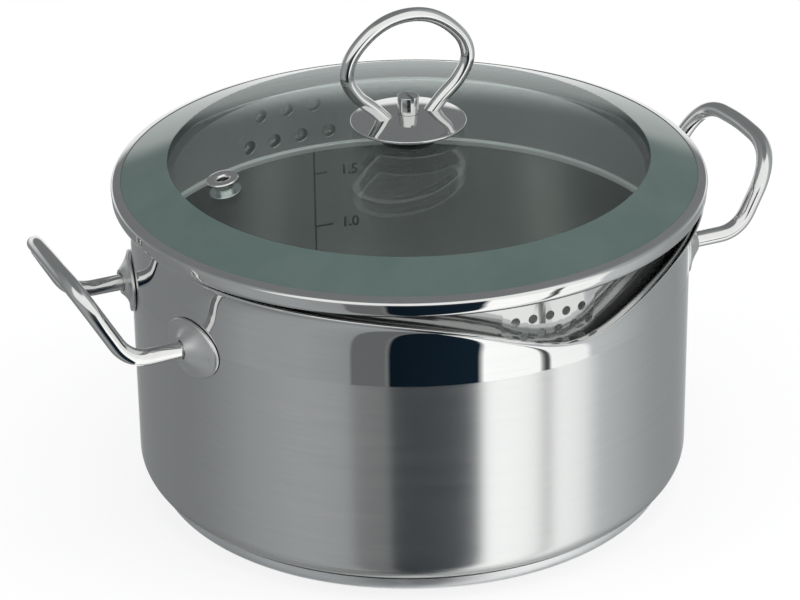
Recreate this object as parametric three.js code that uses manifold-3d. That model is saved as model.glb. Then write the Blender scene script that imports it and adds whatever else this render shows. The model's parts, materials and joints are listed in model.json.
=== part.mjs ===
// A two-handled pasta pot with a pouring spout and a glass strainer lid.
// Millimetres, +Z up, origin at the centre of the base's underside. X runs through the two side
// handles, and the spout faces -Y, turned a little towards +X.
import * as THREE from 'three';
import { mergeVertices } from 'three/addons/utils/BufferGeometryUtils.js';
import Module from 'manifold-3d';

const wasm = await Module();
wasm.setup();

// Clearance kept between pieces that touch.
const CLEARANCE = 0.3;

// Pot: a drawn steel vessel with a rolled rim.
const POT_RADIUS = 90;
const POT_HEIGHT = 100.4;
const POT_STEEL = 0.7;
const POT_CORNER = 7.2;
const RIM_BEAD = 1.1;

// Base: an aluminium heat disc inside a pressed steel capsule.
const CAPSULE_INSET = 5;
const CAPSULE_STEEL = 0.5;
const CAPSULE_CORNER = 4.5;
const CORE_THICKNESS = 4.7;

// Spout: the rim sinks in a soft hollow that fades away round the pot, and its lip turns out. Angles are in degrees.
const SPOUT_TURN = 8.2;
const SPOUT_DIP = 14.7;
const SPOUT_DIP_SPREAD = 11;
const SPOUT_TIP_SOFTNESS = 16;
const SPOUT_FLARE = 5.6;
const SPOUT_FLARE_ANGLE = 125;
const SPOUT_FLARE_POWER = 9;
const SPOUT_DRAW = 27;

// Side handles: a bent round rod between two welded lugs.
const HANDLE_ROD = 2.7;
const HANDLE_SPREAD = 26.4;
const HANDLE_HEIGHT = 74.1;
const HANDLE_LEG = 16.7;
const HANDLE_REACH = 14;
const HANDLE_RISE = 24.8;
const HANDLE_TOP_SPREAD = 24.1;
const HANDLE_BOW = 0.75;
const HANDLE_BEND = 12.6;
const HANDLE_TOP_BEND = 17;
const HANDLE_BOW_BEND = 100;
const LUG_WIDTH = 23.4;
const LUG_HEIGHT = 18.9;
const LUG_STEEL = 0.9;
const LUG_SOCKET_WALL = 1.4;
const LUG_SOCKET_LENGTH = 3.4;
const LUG_SOCKET_FOOT = 7.6;

// Lid: tempered glass in a rolled steel band, over a perforated strainer ring.
const LID_OVERHANG = 5.2;
const BAND_STEEL = 0.6;
const BAND_LIP = 3.1;
const BAND_ROUND = 1.4;
const GLASS_THICKNESS = 3.2;
const SHOULDER_WIDTH = 17.4;
const SHOULDER_RISE = 6.8;
const DOME_RISE = 9;
const STRAINER_STEEL = 0.6;
const STRAINER_GAP = 1.4;
const STRAINER_DEPTH = 23;
const STRAINER_BEND = 1.3;
const STRAINER_HEM_THICKNESS = 1.6;
const STRAINER_HEM_HEIGHT = 2.2;

// Strainer holes: each row has its depth below the rim and its number of holes.
const HOLES_TURN = 4;
const LARGE_HOLE = 2.5;
const LARGE_PITCH = 10.2;
const LARGE_ROWS = [{ depth: 5.4, count: 3 }, { depth: 15.8, count: 4 }];
const SMALL_HOLE = 1.5;
const SMALL_PITCH = 5.8;
const SMALL_ROWS = [{ depth: 7.7, count: 5 }, { depth: 12.9, count: 6 }, { depth: 18.1, count: 5 }];

// Steam vent: an eyelet through the glass.
const VENT_DISTANCE = 63.3;
const VENT_ANGLE = 180;
const VENT_HOLE = 1.8;
const VENT_WALL = 1.1;
const VENT_FLANGE = 5.1;
const VENT_FLANGE_THICKNESS = 0.7;

// Lid knob: a bent loop on a flat disc, held by a screw and a barrel nut.
const SCREW_RADIUS = 2;
const SCREW_HEAD = 4;
const SCREW_HEAD_FLAT = 2.8;
const SCREW_HEAD_HEIGHT = 2.5;
const SEAL_RADIUS = 9;
const SEAL_THICKNESS = 0.9;
const WASHER_RADIUS = 7.2;
const WASHER_THICKNESS = 1;
const DISC_RADIUS = 18.5;
const DISC_THICKNESS = 1.1;
const DISC_CROWN = 2.4;
const DISC_STEPS = 6;
const NUT_RADIUS = 3.4;
const NUT_HEIGHT = 5.4;
const NUT_BORE_DEPTH = 3.4;
const NUT_SLOT_WIDTH = 1.1;
const NUT_SLOT_DEPTH = 1.3;
const LOOP_ROD = 2.25;
const LOOP_FOOT = 6.3;
const LOOP_HALF_WIDTH = 20.85;
const LOOP_WIDEST_HEIGHT = 17.3;
const LOOP_HEIGHT = 35.3;

// Where the loop passes between its feet, its widest place and its top, as shares of the way out and up.
const LOOP_ROOT = { out: -0.1, up: -0.128 };
const LOOP_SHIN = { out: 0.344, up: 0.283 };
const LOOP_FLANK = { out: 0.777, up: 0.63 };
const LOOP_SHOULDER = { out: 0.94, up: 0.35 };
const LOOP_BEND = { out: 0.681, up: 0.7 };
const LOOP_CROWN = { out: 0.355, up: 0.925 };

// Facets around the large turned pieces, the small ones and the rods.
const RIM_SEGMENTS = 60;
const RING_SEGMENTS = 48;
const SMALL_SEGMENTS = 20;
const HOLE_SEGMENTS = 10;
const ROD_SIDES = 10;
const HANDLE_STEPS = 44;
const LOOP_STEPS = 56;

// Rings of points up the wall, as shares of the height over which the spout is drawn.
const WALL_RINGS = [0, 0.5, 0.7, 0.82, 0.89];

// Sizes that follow from the ones above.
const rad = THREE.MathUtils.degToRad;
const potInside = POT_RADIUS - POT_STEEL;
const capsuleRadius = POT_RADIUS - CAPSULE_INSET;
const potBottom = CAPSULE_STEEL + CLEARANCE + CORE_THICKNESS + CLEARANCE;
const beadMiddle = potInside + RIM_BEAD;
const bandRadius = POT_RADIUS + LID_OVERHANG;
const bandInside = bandRadius - BAND_STEEL;
const glassRadius = bandInside - CLEARANCE;
const bandHemBottom = POT_HEIGHT + CLEARANCE;
const bandHemTop = bandHemBottom + BAND_STEEL;
const flangeBottom = bandHemTop + CLEARANCE;
const flangeTop = flangeBottom + STRAINER_STEEL;
const glassEdgeTop = flangeTop + CLEARANCE + GLASS_THICKNESS;
const creaseRadius = glassRadius - SHOULDER_WIDTH;
const creaseTop = glassEdgeTop + SHOULDER_RISE;
const domeRadius = (creaseRadius ** 2 + DOME_RISE ** 2) / (2 * DOME_RISE);
const apexTop = creaseTop + DOME_RISE;
const screwHole = SCREW_RADIUS + CLEARANCE;
const strainerOutside = potInside - STRAINER_GAP;
const strainerInside = strainerOutside - STRAINER_STEEL;
const lugSeat = POT_RADIUS + CLEARANCE;
const lugFace = Math.sqrt(lugSeat ** 2 - HANDLE_SPREAD ** 2);
const socketBottom = lugFace + LUG_SOCKET_LENGTH / 2;
const socketMouth = lugFace + LUG_SOCKET_LENGTH;

// Finishes, as plain colours.
const brushedSteel = new THREE.MeshStandardMaterial({ color: 0xa9adae, roughness: 0.35, metalness: 1 });
const polishedSteel = new THREE.MeshStandardMaterial({ color: 0xc4c6c6, roughness: 0.08, metalness: 1 });
const aluminium = new THREE.MeshStandardMaterial({ color: 0xb9bcc0, roughness: 0.5, metalness: 1 });
const greenGlass = new THREE.MeshStandardMaterial({ color: 0x8fa39d, roughness: 0.05, metalness: 0 });
const silicone = new THREE.MeshStandardMaterial({ color: 0x3b3d3e, roughness: 0.7, metalness: 0 });

// Points on a circle arc in a turned profile, angles in degrees from the +radius direction.
function arc(centreRadius, centreHeight, radius, from, to, steps) {
  return Array.from({ length: steps + 1 }, (_, i) => {
    const angle = rad(from + (to - from) * i / steps);
    return [centreRadius + radius * Math.cos(angle), centreHeight + radius * Math.sin(angle)];
  });
}

// Turns a profile of [radius, height] points round Z, with its first facet edge at -Y plus start degrees.
function turned(profile, segments, start = 0) {
  const points = profile.map(([radius, height]) => new THREE.Vector2(radius, height));
  return new THREE.LatheGeometry(points, segments, rad(start)).rotateX(Math.PI / 2);
}

// A profile that goes round a ring and comes back to its first point.
function closed(profile) {
  return [...profile, profile[0]];
}

// A flat washer with its underside at height bottom.
function washer(inside, outside, bottom, thickness) {
  const top = bottom + thickness;
  const profile = closed([[inside, bottom], [outside, bottom], [outside, top], [inside, top]]);
  return turned(profile, SMALL_SEGMENTS);
}

// A solid for joining and cutting, from a closed geometry.
function solid(geometry) {
  const bare = geometry.clone();
  bare.deleteAttribute('normal');
  bare.deleteAttribute('uv');
  const welded = mergeVertices(bare, 1e-4);
  const corners = welded.getIndex().array;
  const triVerts = [];
  for (let i = 0; i < corners.length; i += 3) {
    const [a, b, c] = corners.slice(i, i + 3);
    if (a !== b && b !== c && c !== a) triVerts.push(a, b, c);
  }
  const vertProperties = new Float32Array(welded.getAttribute('position').array);
  return new wasm.Manifold(new wasm.Mesh({ numProp: 3, vertProperties, triVerts: new Uint32Array(triVerts) }));
}

function geometryOf(manifold) {
  const { vertProperties, triVerts } = manifold.getMesh();
  const geometry = new THREE.BufferGeometry();
  geometry.setAttribute('position', new THREE.BufferAttribute(vertProperties, 3));
  geometry.setIndex(new THREE.BufferAttribute(triVerts, 1));
  return geometry;
}

// A path of straight runs with a bend at each inner corner.
function roundedPath(corners, bends) {
  const path = new THREE.CurvePath();
  let from = corners[0];
  corners.slice(1, -1).forEach((corner, i) => {
    const back = corners[i].clone().sub(corner).normalize();
    const ahead = corners[i + 2].clone().sub(corner).normalize();
    const setback = bends[i] / Math.tan(back.angleTo(ahead) / 2);
    const start = corner.clone().addScaledVector(back, setback);
    const end = corner.clone().addScaledVector(ahead, setback);
    path.add(new THREE.LineCurve3(from, start));
    path.add(new THREE.QuadraticBezierCurve3(start, corner, end));
    from = end;
  });
  path.add(new THREE.LineCurve3(from, corners.at(-1)));
  return path;
}

function rod(path, radius, steps) {
  const section = new THREE.Shape().absarc(0, 0, radius, 0, 2 * Math.PI);
  const settings = { steps, bevelEnabled: false, curveSegments: ROD_SIDES / 2, extrudePath: path };
  return new THREE.ExtrudeGeometry(section, settings);
}

function piece(parent, name, geometry, material) {
  const mesh = new THREE.Mesh(geometry, material);
  mesh.name = name;
  parent.add(mesh);
  return mesh;
}

// Pot body: the wall's outside, the rolled rim and the wall's inside, as one turned profile.
function potProfile() {
  const cornerInside = POT_CORNER - POT_STEEL;
  const cornerRadius = POT_RADIUS - POT_CORNER;
  const cornerHeight = potBottom + POT_CORNER;
  const beadHeight = POT_HEIGHT - RIM_BEAD;
  const wallHeights = WALL_RINGS.map((share) => POT_HEIGHT - SPOUT_DRAW * (1 - share));
  const beadStart = Math.asin((POT_RADIUS - beadMiddle) / RIM_BEAD);
  return [
    [0, potBottom],
    ...arc(cornerRadius, cornerHeight, POT_CORNER, -90, 0, 5),
    ...wallHeights.map((height) => [POT_RADIUS, height]),
    ...arc(beadMiddle, beadHeight, RIM_BEAD, THREE.MathUtils.radToDeg(beadStart) - 90, 180, 7),
    ...wallHeights.toReversed().map((height) => [potInside, height]),
    ...arc(cornerRadius, cornerHeight, cornerInside, 0, -90, 4),
    [0, potBottom + POT_STEEL],
  ];
}

// Presses the spout into the wall: the rim sinks in a soft hollow and its lip curls out.
function drawSpout(geometry) {
  const position = geometry.getAttribute('position');
  const point = new THREE.Vector3();
  for (let i = 0; i < position.count; i += 1) {
    point.fromBufferAttribute(position, i);
    const height = (point.z - POT_HEIGHT + SPOUT_DRAW) / SPOUT_DRAW;
    const angle = Math.atan2(point.x, -point.y) - rad(SPOUT_TURN);
    if (height > 0) {
      const away = Math.hypot(angle, rad(SPOUT_TIP_SOFTNESS)) - rad(SPOUT_TIP_SOFTNESS);
      const dip = SPOUT_DIP * Math.exp(-away / rad(SPOUT_DIP_SPREAD)) * height;
      const across = Math.min(1, Math.abs(angle) / rad(SPOUT_FLARE_ANGLE));
      const flare = SPOUT_FLARE * (1 - across ** 2) ** 2 * height ** SPOUT_FLARE_POWER;
      const stretch = 1 + flare / Math.hypot(point.x, point.y);
      position.setXYZ(i, point.x * stretch, point.y * stretch, point.z - dip);
    }
  }
  return geometry;
}

function capsuleProfile() {
  const inner = CAPSULE_CORNER - CAPSULE_STEEL;
  const cornerRadius = capsuleRadius - CAPSULE_CORNER;
  const top = potBottom - CLEARANCE;
  return [
    [0, 0],
    ...arc(cornerRadius, CAPSULE_CORNER, CAPSULE_CORNER, -90, 0, 4),
    [capsuleRadius, top],
    [capsuleRadius - CAPSULE_STEEL, top],
    ...arc(cornerRadius, CAPSULE_CORNER, inner, 0, -90, 4),
    [0, CAPSULE_STEEL],
  ];
}

function coreProfile() {
  const bottom = CAPSULE_STEEL + CLEARANCE;
  const top = bottom + CORE_THICKNESS;
  const radius = capsuleRadius - CAPSULE_CORNER;
  return [[0, bottom], [radius, bottom], [radius, top], [0, top]];
}

// Height of the glass's upper face at a distance from the axis.
function glassTop(radius) {
  if (radius > creaseRadius) {
    return creaseTop - SHOULDER_RISE * (radius - creaseRadius) / SHOULDER_WIDTH;
  }
  return apexTop - domeRadius + Math.sqrt(domeRadius ** 2 - radius ** 2);
}

function glassGeometry() {
  const domeSteps = 6;
  const stations = Array.from({ length: domeSteps + 1 }, (_, i) => {
    return screwHole + (creaseRadius - screwHole) * i / domeSteps;
  });
  const radii = [...stations, glassRadius];
  const upper = radii.map((radius) => [radius, glassTop(radius)]);
  const lower = upper.map(([radius, height]) => [radius, height - GLASS_THICKNESS]);
  const glass = solid(turned(closed([...lower, ...upper.toReversed()]), RING_SEGMENTS));
  const hole = new THREE.CylinderGeometry(
    VENT_HOLE + VENT_WALL + CLEARANCE, VENT_HOLE + VENT_WALL + CLEARANCE, 4 * GLASS_THICKNESS, HOLE_SEGMENTS);
  hole.rotateX(Math.PI / 2);
  hole.applyMatrix4(ventPlace());
  return geometryOf(glass.subtract(solid(hole)));
}

// Where the vent stands on the dome: its middle in the glass, square to the surface.
function ventPlace() {
  const lean = Math.asin(VENT_DISTANCE / domeRadius);
  const height = glassTop(VENT_DISTANCE) - GLASS_THICKNESS / 2;
  const place = new THREE.Matrix4().makeRotationZ(rad(VENT_ANGLE));
  place.multiply(new THREE.Matrix4().makeTranslation(VENT_DISTANCE, 0, height));
  return place.multiply(new THREE.Matrix4().makeRotationY(lean));
}

function ventGeometry() {
  const outside = VENT_HOLE + VENT_WALL;
  const face = GLASS_THICKNESS / 2 + CLEARANCE;
  const end = face + VENT_FLANGE_THICKNESS;
  const profile = closed([
    [VENT_HOLE, -end], [VENT_FLANGE, -end], [VENT_FLANGE, -face], [outside, -face],
    [outside, face], [VENT_FLANGE, face], [VENT_FLANGE, end], [VENT_HOLE, end],
  ]);
  return turned(profile, SMALL_SEGMENTS);
}

// The band holds the glass and the strainer's flange between its upper lip and its hem, which lies on the rim.
function bandProfile() {
  const lipInside = bandRadius - BAND_LIP;
  const lipUnder = (radius) => glassTop(radius) + CLEARANCE;
  const cornerTop = lipUnder(bandRadius) + BAND_STEEL;
  const roundRadius = bandRadius - BAND_ROUND;
  return closed([
    [beadMiddle, bandHemBottom],
    ...arc(roundRadius, bandHemBottom + BAND_ROUND, BAND_ROUND, -90, 0, 3),
    ...arc(roundRadius, cornerTop - BAND_ROUND, BAND_ROUND, 0, 70, 3),
    [lipInside, lipUnder(lipInside) + BAND_STEEL],
    [lipInside, lipUnder(lipInside)],
    [bandInside, lipUnder(bandInside)],
    [bandInside, bandHemTop],
    [beadMiddle, bandHemTop],
  ]);
}

// The strainer ring: a flange under the glass's edge, bent down into a skirt with a thick hem.
function strainerProfile() {
  const bottom = POT_HEIGHT - STRAINER_DEPTH;
  const hemInside = strainerOutside - STRAINER_HEM_THICKNESS;
  const bendRadius = strainerOutside + STRAINER_BEND;
  const bendHeight = flangeBottom - STRAINER_BEND;
  return closed([
    [strainerOutside, bottom],
    ...arc(bendRadius, bendHeight, STRAINER_BEND, 180, 90, 2),
    [glassRadius, flangeBottom],
    [glassRadius, flangeTop],
    ...arc(bendRadius, bendHeight, STRAINER_BEND + STRAINER_STEEL, 90, 180, 3),
    [strainerInside, bottom + STRAINER_HEM_HEIGHT],
    [hemInside, bottom + STRAINER_HEM_HEIGHT],
    [hemInside, bottom],
  ]);
}

// Punches staggered rows of holes through the skirt, centred on a direction in degrees from +X.
function punch(ring, direction, holeRadius, pitch, rows) {
  return rows.reduce((cutRing, { depth, count }) => {
    return Array.from({ length: count }, (_, i) => i - (count - 1) / 2).reduce((result, step) => {
      const length = 4 * (STRAINER_STEEL + STRAINER_HEM_THICKNESS);
      const hole = new THREE.CylinderGeometry(holeRadius, holeRadius, length, HOLE_SEGMENTS);
      hole.rotateZ(Math.PI / 2);
      hole.translate(strainerOutside, 0, POT_HEIGHT - depth);
      hole.rotateZ(rad(direction) + step * pitch / strainerOutside);
      return result.subtract(solid(hole));
    }, cutRing);
  }, ring);
}

function strainerGeometry() {
  const ring = solid(turned(strainerProfile(), RING_SEGMENTS));
  const withLarge = punch(ring, 90 + HOLES_TURN, LARGE_HOLE, LARGE_PITCH, LARGE_ROWS);
  return geometryOf(punch(withLarge, HOLES_TURN - 90, SMALL_HOLE, SMALL_PITCH, SMALL_ROWS));
}

// Side handle rod, on the +X side: out of one lug, up and round, and back to the other.
function handleGeometry() {
  const start = socketBottom + CLEARANCE;
  const elbow = POT_RADIUS + HANDLE_LEG;
  const top = elbow + HANDLE_REACH;
  const topHeight = HANDLE_HEIGHT + HANDLE_RISE;
  const climb = HANDLE_RISE / HANDLE_REACH;
  const half = [
    new THREE.Vector3(start, HANDLE_SPREAD, HANDLE_HEIGHT),
    new THREE.Vector3(elbow, HANDLE_SPREAD, HANDLE_HEIGHT),
    new THREE.Vector3(top, HANDLE_TOP_SPREAD, topHeight),
  ];
  const middle = new THREE.Vector3(top + HANDLE_BOW, 0, topHeight + HANDLE_BOW * climb);
  const mirrored = half.toReversed().map((point) => new THREE.Vector3(point.x, -point.y, point.z));
  const bends = [HANDLE_BEND, HANDLE_TOP_BEND, HANDLE_BOW_BEND, HANDLE_TOP_BEND, HANDLE_BEND];
  return rod(roundedPath([...half, middle, ...mirrored], bends), HANDLE_ROD, HANDLE_STEPS);
}

// Handle lug at +Y on the +X side: a plate that follows the wall, with a tapered socket for the rod.
function lugGeometry() {
  const sheet = closed([
    [lugSeat, HANDLE_HEIGHT - LUG_HEIGHT],
    [lugSeat + LUG_STEEL, HANDLE_HEIGHT - LUG_HEIGHT],
    [lugSeat + LUG_STEEL, HANDLE_HEIGHT + LUG_HEIGHT],
    [lugSeat, HANDLE_HEIGHT + LUG_HEIGHT],
  ]);
  const outline = new THREE.CylinderGeometry(0.5, 0.5, POT_RADIUS, SMALL_SEGMENTS);
  outline.rotateZ(Math.PI / 2);
  outline.scale(1, LUG_WIDTH, LUG_HEIGHT);
  outline.translate(POT_RADIUS, HANDLE_SPREAD, HANDLE_HEIGHT);
  const plate = solid(turned(sheet, RIM_SEGMENTS)).intersect(solid(outline));

  const bore = HANDLE_ROD + CLEARANCE;
  const sunk = lugFace - LUG_SOCKET_FOOT;
  const taper = (LUG_SOCKET_FOOT - bore - LUG_SOCKET_WALL) / LUG_SOCKET_LENGTH;
  const past = socketMouth + LUG_SOCKET_LENGTH;
  const cone = turned([
    [0, sunk],
    [LUG_SOCKET_FOOT + taper * LUG_SOCKET_FOOT, sunk],
    [bore + LUG_SOCKET_WALL, socketMouth],
    [0, socketMouth],
  ], SMALL_SEGMENTS);
  const boreHole = turned([[0, socketBottom], [bore, socketBottom], [bore, past], [0, past]], SMALL_SEGMENTS);
  [cone, boreHole].forEach((shape) => shape.rotateY(Math.PI / 2).translate(0, HANDLE_SPREAD, HANDLE_HEIGHT));
  const vessel = turned([[0, 0], [lugSeat, 0], [lugSeat, POT_HEIGHT], [0, POT_HEIGHT]], RIM_SEGMENTS);
  return geometryOf(solid(cone).subtract(solid(vessel)).add(plate).subtract(solid(boreHole)));
}

// Lid knob pieces, stacked along the axis.
const upperSealBottom = apexTop + CLEARANCE;
const discBottom = upperSealBottom + SEAL_THICKNESS + CLEARANCE;
const discTop = discBottom + DISC_THICKNESS;
const nutBottom = discTop + DISC_CROWN + CLEARANCE;
const lowerSealBottom = apexTop - GLASS_THICKNESS - CLEARANCE - SEAL_THICKNESS;
const washerBottom = lowerSealBottom - CLEARANCE - WASHER_THICKNESS;
const screwHeadTop = washerBottom - CLEARANCE;

// The disc is flat below and slightly domed above: its upper points from the edge to a radius, raised by a gap.
function discTopPoints(inside, gap) {
  return Array.from({ length: DISC_STEPS + 1 }, (_, i) => {
    const radius = DISC_RADIUS + (inside - DISC_RADIUS) * i / DISC_STEPS;
    return [radius, discTop + gap + DISC_CROWN * (1 - (radius / DISC_RADIUS) ** 2)];
  });
}

function discGeometry() {
  const profile = closed([[screwHole, discBottom], [DISC_RADIUS, discBottom], ...discTopPoints(screwHole, 0)]);
  return turned(profile, SMALL_SEGMENTS);
}

function screwGeometry() {
  const end = nutBottom + NUT_BORE_DEPTH - CLEARANCE;
  const headBottom = screwHeadTop - SCREW_HEAD_HEIGHT;
  const domeStart = screwHeadTop - SCREW_HEAD_HEIGHT / 2;
  return turned([
    [0, headBottom],
    [SCREW_HEAD_FLAT, headBottom],
    [SCREW_HEAD, domeStart],
    [SCREW_HEAD, screwHeadTop],
    [SCREW_RADIUS, screwHeadTop],
    [SCREW_RADIUS, end],
    [0, end],
  ], SMALL_SEGMENTS);
}

function nutGeometry() {
  const top = nutBottom + NUT_HEIGHT;
  const barrel = turned([
    [0, nutBottom + NUT_BORE_DEPTH],
    [screwHole, nutBottom + NUT_BORE_DEPTH],
    [screwHole, nutBottom],
    [NUT_RADIUS, nutBottom],
    [NUT_RADIUS, top],
    [0, top],
  ], SMALL_SEGMENTS);
  const slot = new THREE.BoxGeometry(NUT_SLOT_WIDTH, 4 * NUT_RADIUS, 2 * NUT_SLOT_DEPTH);
  slot.translate(0, 0, top);
  return geometryOf(solid(barrel).subtract(solid(slot)));
}

// Knob loop in the XZ plane: it swells out from its feet, closes over the top, and its ends are cut to fit the disc.
function loopGeometry() {
  const upper = LOOP_HEIGHT - LOOP_WIDEST_HEIGHT;
  const swell = LOOP_HALF_WIDTH - LOOP_FOOT;
  const below = [LOOP_ROOT, LOOP_SHIN, LOOP_FLANK].map(({ out, up }) => {
    return [LOOP_FOOT + out * swell, up * LOOP_WIDEST_HEIGHT];
  });
  const above = [LOOP_SHOULDER, LOOP_BEND, LOOP_CROWN].map(({ out, up }) => {
    return [out * LOOP_HALF_WIDTH, LOOP_WIDEST_HEIGHT + up * upper];
  });
  const half = [...below, [LOOP_HALF_WIDTH, LOOP_WIDEST_HEIGHT], ...above];
  const mirrored = half.toReversed().map(([across, height]) => [-across, height]);
  const points = [...half, [0, LOOP_HEIGHT], ...mirrored].map(([across, height]) => {
    return new THREE.Vector3(across, 0, discTop + height);
  });
  const bent = rod(new THREE.CatmullRomCurve3(points), LOOP_ROD, LOOP_STEPS);
  const seat = turned([[0, discBottom], [DISC_RADIUS, discBottom], ...discTopPoints(0, CLEARANCE)], SMALL_SEGMENTS);
  return geometryOf(solid(bent).trimByPlane([0, 0, 1], discTop).subtract(solid(seat)));
}

// The pot and what is welded to it.
const pot = new THREE.Group();
piece(pot, 'pot_body', drawSpout(turned(potProfile(), RIM_SEGMENTS, SPOUT_TURN)), brushedSteel);
piece(pot, 'base_capsule', turned(capsuleProfile(), RING_SEGMENTS), brushedSteel);
piece(pot, 'base_core', turned(coreProfile(), RING_SEGMENTS), aluminium);
for (const [side, turn] of [['right', 0], ['left', Math.PI]]) {
  piece(pot, `handle_${side}`, handleGeometry(), polishedSteel).rotation.z = turn;
  for (const sign of [1, -1]) {
    const end = (sign > 0) === (side === 'right') ? 'rear' : 'front';
    const lug = lugGeometry();
    if (sign < 0) lug.rotateX(Math.PI).translate(0, 0, 2 * HANDLE_HEIGHT);
    piece(pot, `handle_lug_${side}_${end}`, lug, polishedSteel).rotation.z = turn;
  }
}

// The lid, with its small holes towards the spout.
const lid = new THREE.Group();
piece(lid, 'lid_glass', glassGeometry(), greenGlass);
piece(lid, 'lid_rim_band', turned(bandProfile(), RING_SEGMENTS), polishedSteel);
piece(lid, 'strainer_ring', strainerGeometry(), polishedSteel);
piece(lid, 'vent_eyelet', ventGeometry().applyMatrix4(ventPlace()), polishedSteel);
piece(lid, 'knob_seal_upper', washer(screwHole, SEAL_RADIUS, upperSealBottom, SEAL_THICKNESS), silicone);
piece(lid, 'knob_disc', discGeometry(), polishedSteel);
piece(lid, 'knob_loop', loopGeometry(), polishedSteel);
piece(lid, 'knob_barrel_nut', nutGeometry(), polishedSteel);
piece(lid, 'knob_seal_lower', washer(screwHole, SEAL_RADIUS, lowerSealBottom, SEAL_THICKNESS), silicone);
piece(lid, 'knob_washer', washer(screwHole, WASHER_RADIUS, washerBottom, WASHER_THICKNESS), polishedSteel);
piece(lid, 'knob_screw', screwGeometry(), polishedSteel);

const pastaPot = new THREE.Group();
pastaPot.add(pot, lid);

export default pastaPot;
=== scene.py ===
# %% [markdown]
# # A pasta pot with a strainer lid
#
# The real pot is a drawn steel vessel with a pouring spout, two bent handles and a glass lid that
# lifts off and turns to choose its drain holes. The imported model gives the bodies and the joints.
# This lesson makes the visible pieces again with finer steps, because polished steel shows every
# facet in its reflections, and then works out a finish for each of them.

# %% Load the frame
import json
import math

import bmesh
import bpy
import numpy as np
from mathutils import Matrix, Vector

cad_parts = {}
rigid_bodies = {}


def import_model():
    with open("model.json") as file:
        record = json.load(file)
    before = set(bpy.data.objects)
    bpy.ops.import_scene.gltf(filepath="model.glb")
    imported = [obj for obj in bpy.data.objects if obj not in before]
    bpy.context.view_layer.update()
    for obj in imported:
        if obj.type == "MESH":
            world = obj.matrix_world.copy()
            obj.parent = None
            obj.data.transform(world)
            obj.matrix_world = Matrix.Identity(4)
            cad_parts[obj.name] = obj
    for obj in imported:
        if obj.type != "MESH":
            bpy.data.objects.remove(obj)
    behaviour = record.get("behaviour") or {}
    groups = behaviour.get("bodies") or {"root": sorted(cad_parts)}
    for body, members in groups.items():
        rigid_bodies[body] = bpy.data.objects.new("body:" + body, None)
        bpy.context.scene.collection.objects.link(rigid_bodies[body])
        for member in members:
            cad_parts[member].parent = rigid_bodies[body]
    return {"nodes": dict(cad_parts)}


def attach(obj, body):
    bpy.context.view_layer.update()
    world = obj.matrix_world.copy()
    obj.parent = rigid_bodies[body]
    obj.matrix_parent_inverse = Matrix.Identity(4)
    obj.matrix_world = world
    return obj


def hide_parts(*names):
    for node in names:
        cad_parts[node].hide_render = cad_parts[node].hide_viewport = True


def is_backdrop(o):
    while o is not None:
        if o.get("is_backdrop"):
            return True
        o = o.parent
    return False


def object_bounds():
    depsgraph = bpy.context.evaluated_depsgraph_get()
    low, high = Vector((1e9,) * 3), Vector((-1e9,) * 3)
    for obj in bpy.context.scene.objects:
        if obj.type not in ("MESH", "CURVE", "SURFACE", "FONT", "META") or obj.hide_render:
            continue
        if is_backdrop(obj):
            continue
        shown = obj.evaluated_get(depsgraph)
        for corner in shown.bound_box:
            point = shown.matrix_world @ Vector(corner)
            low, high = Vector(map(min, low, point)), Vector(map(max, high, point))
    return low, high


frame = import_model()
cad_low, cad_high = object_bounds()
MM = 0.001

# %% [markdown]
# ## The camera
#
# A long lens seen from a little above shows the lid as a flat oval and the wall almost straight.
# The directions below are the camera's own axes in the pot's frame, so nothing is aimed by eye.

# %% Set the camera
CAMERA_PLACE = Vector((-0.3950, -0.8708, 0.5349))
CAMERA_RIGHT = Vector((0.9095, -0.4154, -0.0125))
CAMERA_UP = Vector((0.1949, 0.4000, 0.8955))
CAMERA_FORWARD = Vector((0.3671, 0.8169, -0.4448))
CAMERA_LENS = 147.5


def linked(name, data):
    """A new object, linked into the scene."""
    item = bpy.data.objects.new(name, data)
    bpy.context.scene.collection.objects.link(item)
    return item


camera = linked("camera", bpy.data.cameras.new("camera"))
camera.data.lens = CAMERA_LENS
axes = Matrix((CAMERA_RIGHT, CAMERA_UP, -CAMERA_FORWARD)).transposed().to_4x4()
camera.matrix_world = Matrix.Translation(CAMERA_PLACE) @ axes
bpy.context.scene.camera = camera
bpy.context.scene.view_settings.view_transform = "Standard"
print("camera at", [round(value, 3) for value in CAMERA_PLACE])

# %% [markdown]
# ## Node expressions
#
# Shader and geometry trees are easier to read as sums than as lists of links. A small class wraps a
# socket, so that `1 - mask * 0.5` adds the Math nodes it needs. Every other node comes from one
# method that takes the node's type, its settings and what its sockets are set or linked to.


# %% A socket that can be calculated with
def calculated(operation, reflected=False):
    """The method of an operator, which adds one Math node."""
    def method(self, other):
        pair = (other, self) if reflected else (self, other)
        return self.math(operation, *pair)
    return method


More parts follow.
